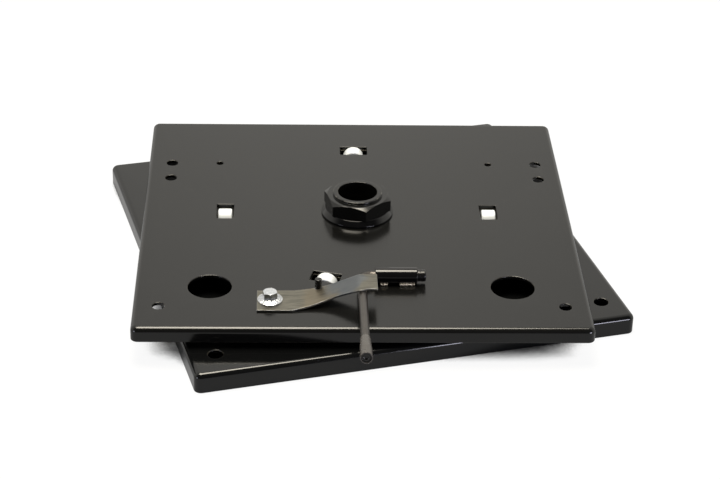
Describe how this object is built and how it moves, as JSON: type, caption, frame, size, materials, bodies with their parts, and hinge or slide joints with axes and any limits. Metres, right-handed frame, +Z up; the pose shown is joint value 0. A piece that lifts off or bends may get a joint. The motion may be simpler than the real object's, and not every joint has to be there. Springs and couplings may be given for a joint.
{
  "type": "swivel seat base",
  "caption": "Two stacked pressed-steel trays that swivel on a hollow pivot and rollers, with a spring-loaded lock pin and a hand lever.",
  "frame": {"origin": "on the swivel axis, at the lower tray's top face where the rollers run", "axes": "+Z up along the swivel axis; +Y to the back of the upper tray, away from the lever; +X to the lever shaft's capped end. The upper tray is square to the axes and the lower tray is turned 14.3 degrees about +Z at rest."},
  "size_m": [0.4819, 0.5246, 0.0717],
  "materials": {
    "tray_paint": "semi-gloss black paint",
    "pivot_steel": "semi-gloss black paint",
    "nut_black": "black oxide, oiled",
    "slip_nylon": "glossy black nylon",
    "white_nylon": "natural nylon",
    "cradle_zinc": "zinc plated",
    "zinc": "bright zinc plated",
    "spring_steel": "blued spring steel",
    "barrel_paint": "gloss black paint",
    "weld_steel": "weld bead under paint",
    "lever_steel": "dark drawn steel",
    "black_plastic": "black nylon",
    "pin_steel": "black oxide"
  },
  "bodies": {
    "lower_frame": {"lower_tray": "tray_paint", "pivot_tube": "pivot_steel", "pivot_flange": "pivot_steel", "pivot_tube_weld": "pivot_steel", "pivot_flange_weld": "pivot_steel", "spacer_collar": "pivot_steel", "slip_ring": "slip_nylon", "pivot_nut": "nut_black"},
    "upper_frame": {"upper_tray": "tray_paint", "pivot_bush": "white_nylon", "lever_barrel": "barrel_paint", "lever_barrel_welds": "weld_steel", "leaf_spring": "spring_steel", "spring_bolt": "zinc", "spring_weld_nut": "zinc", "pin_guide": "cradle_zinc", "roller_cradle_right": "cradle_zinc", "roller_axle_right": "zinc", "roller_cradle_back": "cradle_zinc", "roller_axle_back": "zinc", "roller_cradle_left": "cradle_zinc", "roller_axle_left": "zinc", "roller_cradle_front": "cradle_zinc", "roller_axle_front": "zinc"},
    "lever": {"lever_rod": "lever_steel", "lever_end_cap": "black_plastic", "handle_socket": "black_plastic", "lever_end_screw": "nut_black"},
    "latch": {"lock_pin": "pin_steel"},
    "roller_right": {"roller_right": "white_nylon"},
    "roller_back": {"roller_back": "white_nylon"},
    "roller_left": {"roller_left": "white_nylon"},
    "roller_front": {"roller_front": "white_nylon"}
  },
  "joints": [
    {"name": "swivel", "type": "hinge", "parent": "lower_frame", "child": "upper_frame", "pos_m": [0, 0, 0], "axis": [0, 0, 1], "continuous": true},
    {"name": "roller_right_spin", "type": "hinge", "parent": "upper_frame", "child": "roller_right", "pos_m": [0.124, 0, 0.0102], "axis": [1, 0, 0], "continuous": true},
    {"name": "roller_back_spin", "type": "hinge", "parent": "upper_frame", "child": "roller_back", "pos_m": [0, 0.124, 0.0102], "axis": [0, 1, 0], "continuous": true},
    {"name": "roller_left_spin", "type": "hinge", "parent": "upper_frame", "child": "roller_left", "pos_m": [-0.124, 0, 0.0102], "axis": [-1, 0, 0], "continuous": true},
    {"name": "roller_front_spin", "type": "hinge", "parent": "upper_frame", "child": "roller_front", "pos_m": [-0.03161, -0.1199, 0.0102], "axis": [-0.2549, -0.967, 0], "continuous": true},
    {"name": "lever_lift", "type": "hinge", "parent": "upper_frame", "child": "lever", "pos_m": [0, -0.129, 0.02625], "axis": [-1, 0, 0], "range_deg": [0, 12], "stiffness_Nm_per_rad": 50, "springref_deg": -2.86, "deforming": ["leaf_spring"]},
    {"name": "lock_pin_lift", "type": "slide", "parent": "upper_frame", "child": "latch", "axis": [0, 0, 1], "range_m": [0, 0.0021]}
  ],
  "couplings": [
    {"joint": "roller_right_spin", "follows": "swivel", "ratio": -12.4},
    {"joint": "roller_back_spin", "follows": "swivel", "ratio": -12.4},
    {"joint": "roller_left_spin", "follows": "swivel", "ratio": -12.4},
    {"joint": "roller_front_spin", "follows": "swivel", "ratio": -12.4},
    {"joint": "lock_pin_lift", "follows": "lever_lift", "m_per_rad": 0.009549}
  ]
}
